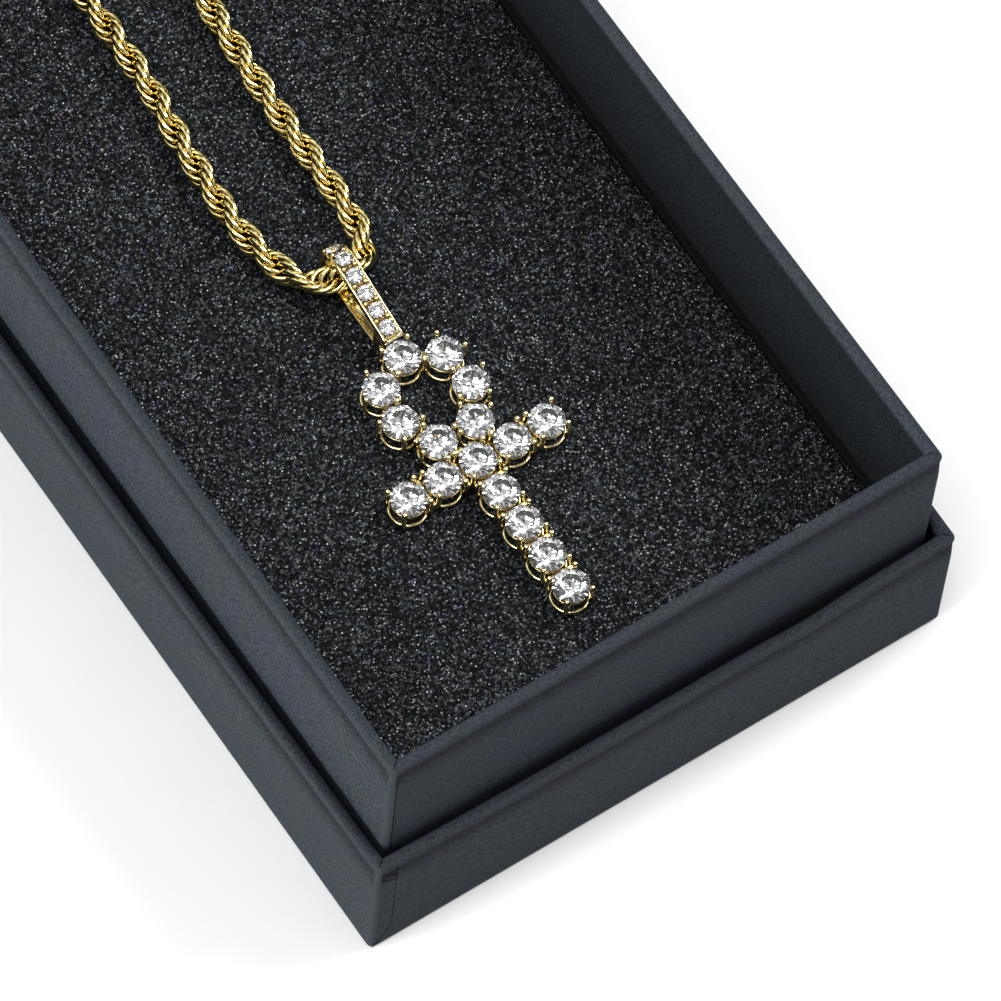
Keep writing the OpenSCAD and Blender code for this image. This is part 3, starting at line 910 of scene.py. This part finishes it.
def rope_pieces(material):
    """The links of the whole chain: fine ones where it shows, plainer ones under the pad.

    Each link is a ring whose plane holds the chain's middle line. It passes through the links
    before it and is turned a little past them, which gives the rope its two strands.
    """
    curve, at, knots = smooth_route(ROUTE, ROUTE_STEP)
    tangents, sides = carried_sides(curve)
    first = LINK_HALF_L + LINK_WIRE
    count = int((at[-1] - 2 * first) / LINK_SPACING) + 1
    shown = Build()
    hidden = Build()
    for s in np.linspace(first, at[-1] - first, count):
        i = int(round(s / at[-1] * (len(at) - 1)))
        t = tangents[i]
        past_bend = clamp((s - knots[BEND_POINT]) / BEND_SPAN + 0.5)
        a = 2 * math.pi * s / ROPE_PITCH + ROPE_START + BEND_TWIST * past_bend
        u = math.cos(a) * sides[i] + math.sin(a) * np.cross(t, sides[i])
        fine = knots[FINE_FROM] <= s <= knots[FINE_TO]
        build, steps = (shown, FINE_LINK) if fine else (hidden, PLAIN_LINK)
        build.grid(link(curve[i], u, t, *steps), wrap_rows=True, wrap_cols=True)
    return shown.piece("rope_chain_shown", material), hidden.piece("rope_chain_hidden", material)


# Foam pad

def breaks(stops, step):
    """Coordinates that pass through every stop, about a step apart."""
    parts = []
    for a, b in zip(stops, stops[1:]):
        parts.append(np.linspace(a, b, max(int(round((b - a) / step)), 1), endpoint=False))
    return np.concatenate(parts + [[stops[-1]]])


def in_slot(x, y):
    """Whether a point lies in one of the pad's two slots."""
    return SLOT_X[0] < abs(x) < SLOT_X[1] and SLOT_Y[0] < y < SLOT_Y[1]


def dents(xx, yy):
    """Depth by which the jewel presses the pad's top in."""
    depth = np.zeros_like(xx)
    for name in LARGE_STONES:
        x, y = seat_of(name)
        past = np.maximum(np.hypot(xx - x, yy - y) - DENT_R, 0)
        depth = np.maximum(depth, DENT_DEPTH * np.exp(-(past / DENT_FADE) ** 2))
    return depth


def pad_surface(xs, ys):
    """Points of the pad's top: pits, slow waves, soft edges and dents."""
    rng = np.random.default_rng(SEED)
    xx, yy = np.meshgrid(xs, ys)
    pits = rng.random(xx.shape) ** 2
    waves = sum(np.sin(xx * fx + px) * np.sin(yy * fy + py) for fx, fy, px, py in WAVES)
    edge = np.minimum(PAD_HALF_W - np.abs(xx), PAD_HALF_L - np.abs(yy))
    drop = PAD_EDGE_DROP * np.exp(-edge / PAD_EDGE_REACH)
    even = PAD_TOP - FOAM_SINK - PIT_DEPTH * pits - WAVE_DEPTH * (waves + 2) / 2
    return np.stack([xx, yy, even - drop - dents(xx, yy)], axis=-1)


def foam_cushion(material):
    """The pad: its top with the two slots, its sides and its hollow underside."""
    across = [-SLOT_X[1], -SLOT_X[0], SLOT_X[0], SLOT_X[1]]
    xs = breaks([-PAD_HALF_W, *across, PAD_HALF_W], FOAM_STEP)
    ys = breaks([-PAD_HALF_L, *SLOT_Y, PAD_HALF_L], FOAM_STEP)
    points = pad_surface(xs, ys)
    build = Build()
    cols = len(xs)
    faces = []
    for j in range(len(ys) - 1):
        for i in range(cols - 1):
            if not in_slot((xs[i] + xs[i + 1]) / 2, (ys[j] + ys[j + 1]) / 2):
                a = j * cols + i
                faces.append((a, a + 1, a + cols + 1, a + cols))
    build.add(points, faces)
    skirt(build, points)
    for side in (-1, 1):
        slot_walls(build, points, xs, ys, side)
    pad_underside(build)
    return build.piece("foam_cushion", material)


def wall_down(build, edge, z, flip):
    """Wall from a line of points straight down to a height."""
    edge = np.asarray(edge, dtype=float)
    rows = []
    for share in np.linspace(0, 1, PAD_WALL_ROWS):
        row = edge.copy()
        row[:, 2] = edge[:, 2] * (1 - share) + z * share
        rows.append(row)
    build.grid(rows, flip=flip)


def skirt(build, points):
    """Outer sides of the pad."""
    sides = [points[0, :-1], points[:-1, -1], points[-1, :0:-1], points[:0:-1, 0], points[0, :1]]
    wall_down(build, np.concatenate(sides), PAD_HOLLOW_TOP, True)


def slot_walls(build, points, xs, ys, side):
    """Walls of the slot on one side of the pad."""
    i0, i1 = (np.abs(xs - x).argmin() for x in sorted((side * SLOT_X[0], side * SLOT_X[1])))
    j0, j1 = (np.abs(ys - y).argmin() for y in SLOT_Y)
    walls = [
        points[j0, i0:i1], points[j0:j1, i1], points[j1, i1:i0:-1], points[j1:j0:-1, i0],
        points[j0, i0:i0 + 1],
    ]
    wall_down(build, np.concatenate(walls), PAD_HOLLOW_TOP, False)


def pad_underside(build):
    """Underside: the hollow's flat roof round the block that stands on the tray's floor."""
    across = [SLOT_X[0], SLOT_X[1], PAD_BLOCK_X, PAD_HALF_W]
    xs = [-x for x in reversed(across)] + across
    ys = [-PAD_HALF_L, *PAD_BLOCK_Y, *SLOT_Y, PAD_HALF_L]
    y_near, y_far = PAD_BLOCK_Y
    block = [
        (-PAD_BLOCK_X, y_near), (PAD_BLOCK_X, y_near), (PAD_BLOCK_X, y_far), (-PAD_BLOCK_X, y_far),
    ]
    for x0, x1 in zip(xs, xs[1:]):
        for y0, y1 in zip(ys, ys[1:]):
            x, y = (x0 + x1) / 2, (y0 + y1) / 2
            inside = abs(x) < PAD_BLOCK_X and y_near < y < y_far
            if not inside and not in_slot(x, y):
                corners = [(x0, y0), (x0, y1), (x1, y1), (x1, y0)]
                build.add([(*corner, PAD_HOLLOW_TOP) for corner in corners], [(0, 1, 2, 3)])
    rows = [[(x, y, z) for x, y in block] for z in (PAD_HOLLOW_TOP, PAD_FOOT)]
    build.grid(rows, wrap_cols=True, flip=True)
    build.add(rows[1], [(3, 2, 1, 0)])


# Box

def side_samples(half, r, count):
    """Positions along a straight side, closer together towards its corners."""
    t = np.linspace(-1, 1, count)
    return (half - r) * np.sign(t) * (1 - (1 - np.abs(t)) ** SIDE_POWER)


def box_outline(w, l, inset):
    """Points round a wall at an inset: x, y, outward direction, side and share along the side."""
    half_w, half_l = w / 2 - inset, l / 2 - inset
    corner = max(BOX_CORNER_R - inset, LEAST_CORNER_R)
    points = []
    for side, (nx, ny) in enumerate(((1, 0), (0, 1), (-1, 0), (0, -1))):
        half, other = (half_l, half_w) if nx else (half_w, half_l)
        count = LONG_SIDE_STEPS if nx else SHORT_SIDE_STEPS
        for s in side_samples(half, corner, count):
            along = s / (half - corner)
            x = nx * other - ny * s
            y = ny * other + nx * s
            points.append((x, y, nx, ny, side, along))
        for k in range(1, CORNER_STEPS):
            a = math.radians(90 * k / CORNER_STEPS)
            cx = nx * (other - corner) - ny * (half - corner)
            cy = ny * (other - corner) + nx * (half - corner)
            dx = nx * math.cos(a) - ny * math.sin(a)
            dy = ny * math.cos(a) + nx * math.sin(a)
            points.append((cx + corner * dx, cy + corner * dy, dx, dy, side, 1.0))
    return points


def box_rows(size, z0, z1, slack):
    """Rows of the wall up the outside, over the rim and down the inside, and how many are outside.

    With a slack of 0 the walls are straight, and with 1 they stand out as the lid's do.
    """
    h = z1 - z0
    levels = FOOT + [(0.0, z) for z in np.linspace(OUTER_FROM, h - OUTER_TO, OUTER_ROWS)]
    levels += [(inset, h - below) for inset, below in RIM + INNER_RIM]
    outside = len(levels) - 1
    foot = BOARD_T + INNER_TO
    levels += [(BOARD_T, z) for z in np.linspace(h - INNER_FROM, foot, INNER_ROWS)]
    levels += [(foot, BOARD_T)]
    rows = []
    for inset, z in levels:
        row = []
        for x, y, nx, ny, side, along in box_outline(*size, inset):
            out = slack * sagging(side, along) * (z / h) ** 2
            row.append((x + nx * out, y + ny * out, z0 + z))
        rows.append(row)
    return rows, outside


def sagging(side, along):
    """How far the lid's rim stands out along a side, with a wave in the near side."""
    wave = 0.0
    if side == NEAR_SIDE:
        wave = LID_WAVE * math.exp(-((along - LID_WAVE_AT) / LID_WAVE_W) ** 2)
    return LID_BOW * (1 - along * along) + wave


def seam_line(points, normal, width):
    """Flat narrow strip along the points, just proud of a flat face with this normal."""
    points = np.array(points, dtype=float)
    normal = np.array(normal, dtype=float)
    heading = np.gradient(points, axis=0)
    heading /= np.linalg.norm(heading, axis=1)[:, None]
    across = np.cross(normal, heading) * width / 2
    return [points + share * across + proud * normal for share, proud in SEAM_SECTION]


def paper_seams(material):
    """Edges of the turned paper: at the near corner of the lid and tray, and mitred on the rims."""
    build = Build()
    near = (0, -1, 0)
    x, y, top = -LID_SIZE[0] / 2, -LID_SIZE[1] / 2, LID_Z[1]
    z = np.linspace(LID_SEAM_GAPS[0], top - LID_SEAM_GAPS[1], LID_SEAM_ROWS)
    curved = LID_SEAM_IN * (1 - (1 - np.minimum(z / LID_SEAM_H, 1)) ** 2) + x
    build.grid(seam_line(np.stack([curved, np.full_like(z, y), z], axis=1), near, SEAM_W))
    for a, b in FOLDS:
        ends = [(x + a[0], y, top - a[1]), (x + b[0], y, top - b[1])]
        build.grid(seam_line(ends, near, FINE_SEAM_W))
    x, y = TRAY_SEAM[0] - TRAY_SIZE[0] / 2, -TRAY_SIZE[1] / 2
    ends = [(x, y, top - TRAY_SEAM[1]), (x, y, TRAY_Z[1] - TRAY_SEAM[2])]
    build.grid(seam_line(ends, near, SEAM_W))
    for size, z in ((LID_SIZE, LID_Z), (TRAY_SIZE, TRAY_Z)):
        for sx, sy in ((-1, -1), (-1, 1), (1, -1), (1, 1)):
            mitre(build, sx, sy, size, z[1])
    return build.piece("paper_seams", material)


def mitre(build, sx, sy, size, top):
    """Seam across the flat top of a rim, at the corner on these sides of x and y."""
    ends = []
    for inset in MITRE:
        ends.append((sx * (size[0] / 2 - inset), sy * (size[1] / 2 - inset), top))
    build.grid(seam_line(ends, (0, 0, 1), FINE_SEAM_W))


def lid_crease(material):
    """Fine pale crease in the lid's near side, from its rim."""
    build = Build()
    points = [(x, -LID_SIZE[1] / 2, z) for x, z in CREASE]
    build.grid(seam_line(points, (0, -1, 0), CREASE_W))
    return build.piece("lid_crease", material)


def box_shell(name, material, inner, size, z, slack):
    """Open box of board with a second material down its inside."""
    build = Build()
    rows, outside = box_rows(size, *z, slack)
    closed_wall(build, rows)
    made = build.piece(name, material)
    made.data.materials.append(inner)
    polygons = made.data.polygons
    for polygon in polygons[outside * len(rows[0]):]:
        polygon.material_index = 1
    underside, floor = polygons[-2:]
    underside.material_index = 0
    underside.use_smooth = False
    floor.use_smooth = False
    return made


# World, floor, lights and camera

def add_floor(material):
    """Wide flat floor, just under the box."""
    build = Build()
    corners = [(-1, -1, 0), (1, -1, 0), (1, 1, 0), (-1, 1, 0)]
    build.add(FLOOR_HALF * np.array(corners), [(0, 1, 2, 3)])
    floor = build.piece("floor", material, smooth=False)
    floor.location.z = -FLOOR_GAP * MM


def add_world(dark, bright):
    """Studio dome of soft bright panels with darker gaps, dimmer in one direction."""
    world = bpy.data.worlds.new("studio")
    world.use_nodes = True
    background = world.node_tree.nodes["Background"]
    look = Look(world.node_tree)
    coords = look.new("ShaderNodeTexCoord")
    panels = look.noise(coords.outputs["Generated"], scale=3.4, detail=1.0)
    tones = look.ramp(panels, [
        (0.42, grey(dark)), (0.47, grey(0.4 * bright)), (0.56, grey(bright)),
    ])
    dot = look.new("ShaderNodeVectorMath")
    dot.operation = "DOT_PRODUCT"
    dot.inputs[1].default_value = DIM_TOWARDS
    look.join(coords.outputs["Generated"], dot.inputs[0])
    dim = look.ramp(dot.outputs["Value"], [(0.55, grey(1.0)), (0.9, grey(0.5))])
    look.join(look.multiply(tones, dim), background.inputs["Color"])
    background.inputs["Strength"].default_value = 1.0
    bpy.context.scene.world = world


def add_area(name, azimuth, elevation, distance, size, power, colour):
    """Soft light that looks at the pendant; azimuth is counted from +Y towards +X."""
    light = bpy.data.lights.new(name, "AREA")
    light.shape = "RECTANGLE"
    light.size, light.size_y = size
    light.energy = power
    light.color = colour
    made = bpy.data.objects.new(name, light)
    az, el = math.radians(azimuth), math.radians(elevation)
    aim = Vector(CAMERA_AIM) * MM
    away = Vector((math.sin(az) * math.cos(el), math.cos(az) * math.cos(el), math.sin(el)))
    made.location = aim + away * distance
    made.rotation_euler = away.to_track_quat("Z", "Y").to_euler()
    made.visible_camera = False
    bpy.context.scene.collection.objects.link(made)


def add_camera():
    """Camera where the fit to the photograph puts it."""
    az, el, roll = (math.radians(v) for v in (CAMERA_AZIMUTH, CAMERA_ELEVATION, CAMERA_ROLL))
    forward = Vector((math.sin(az) * math.cos(el), math.cos(az) * math.cos(el), -math.sin(el)))
    right = Vector((math.cos(az), -math.sin(az), 0))
    up = right.cross(forward)
    turned_right = math.cos(roll) * right + math.sin(roll) * up
    turned_up = turned_right.cross(forward)
    data = bpy.data.cameras.new("photo_camera")
    data.sensor_width = SENSOR_WIDTH
    data.sensor_fit = "HORIZONTAL"
    data.lens = CAMERA_LENS
    data.clip_start = 0.01
    data.clip_end = 20.0
    camera = bpy.data.objects.new("photo_camera", data)
    place = (Vector(CAMERA_AIM) - CAMERA_DISTANCE * forward) * MM
    turn = Matrix((turned_right, turned_up, -forward)).transposed()
    camera.matrix_world = Matrix.Translation(place) @ turn.to_4x4()
    bpy.context.scene.collection.objects.link(camera)
    bpy.context.scene.camera = camera


def dress_node(node, material, smooth):
    """Gives a CAD node its material."""
    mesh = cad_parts[node].data
    mesh.materials.clear()
    mesh.materials.append(material)
    for polygon in mesh.polygons:
        polygon.use_smooth = smooth


def replace(made, slot, *nodes):
    """Puts a piece on the one body in place of CAD nodes; its slot is not used."""
    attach(made, "root")
    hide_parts(*nodes)


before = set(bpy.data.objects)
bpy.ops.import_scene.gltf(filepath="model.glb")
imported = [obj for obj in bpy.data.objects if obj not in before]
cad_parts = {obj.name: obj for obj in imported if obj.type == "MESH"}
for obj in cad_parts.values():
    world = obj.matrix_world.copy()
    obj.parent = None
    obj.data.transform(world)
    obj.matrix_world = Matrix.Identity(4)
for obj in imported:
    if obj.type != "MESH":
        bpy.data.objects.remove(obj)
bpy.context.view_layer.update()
add_camera()

pendant_gold = gold_material(
    "pendant_gold_plate", base=(1.0, 0.88, 0.5), stain=(0.94, 0.77, 0.37), roughness=0.17, reach=0.4
)
chain_gold = gold_material(
    "chain_gold_plate", base=(1.0, 0.88, 0.43), stain=(0.9, 0.73, 0.25), roughness=0.1, reach=0.9
)
stone = stone_material("clear_cut_stone", (0.97, 0.98, 1.0))
tray_paper = paper_material(
    "tray_wrap_paper", base=(0.03, 0.0366, 0.041), cool=(0.0303, 0.034, 0.0455),
    worn=(0.034, 0.0385, 0.0465), rim=TRAY_Z[1],
)
lid_paper = paper_material(
    "lid_wrap_paper", base=(0.0287, 0.0351, 0.0392), cool=(0.029, 0.0326, 0.043),
    worn=(0.034, 0.0385, 0.0465), rim=LID_Z[1],
)
# Inside paper darker than the outside: partly its own tone, partly painted shade of the shadowed
# inside walls
inner_paper_with_painted_shade = paper_material(
    "inner_paper_with_painted_shade", base=(0.0122, 0.0141, 0.016), cool=(0.012, 0.0137, 0.0168),
    worn=(0.022, 0.025, 0.031), rim=INNER_PAINTED_SHADE_TOP,
)
crease_paper = paper_material(
    "creased_paper", base=(0.09, 0.097, 0.104), cool=(0.08, 0.086, 0.096),
    worn=(0.1, 0.105, 0.11), rim=LID_Z[1],
)
seam_paper = paper_material(
    "paper_seam", base=grey(0.006), cool=(0.006, 0.0065, 0.008), worn=grey(0.008), rim=LID_Z[1]
)
foam = foam_material("speckled_foam")

replace(ankh_metal(pendant_gold), "pendant_gold", "ankh_frame")
replace(bail_metal(pendant_gold), "pendant_gold", "bail")
for links_piece in rope_pieces(chain_gold):
    replace(links_piece, "chain_gold", "rope_chain")
cushion = foam_cushion(foam)
replace(cushion, "foam", "foam_pad")
tray = box_shell("tray_shell", tray_paper, inner_paper_with_painted_shade, TRAY_SIZE, TRAY_Z, slack=0.0)
replace(tray, "tray_paper", "box_tray")
lid = box_shell("lid_shell", lid_paper, inner_paper_with_painted_shade, LID_SIZE, LID_Z, slack=1.0)
replace(lid, "lid_paper", "box_lid")
replace(paper_seams(seam_paper), "lid_paper", "box_lid", "box_tray")
replace(lid_crease(crease_paper), "lid_paper", "box_lid")
for stone_node in LARGE_STONES + BAIL_STONES:
    dress_node(stone_node, stone, smooth=False)
dress_node("clasp", chain_gold, smooth=True)

add_floor(floor_material("pale_floor"))
add_world(dark=0.05, bright=1.35)
for light_name, light_values in LIGHTS.items():
    add_area(light_name, *light_values)
bpy.context.scene.view_settings.view_transform = "Standard"
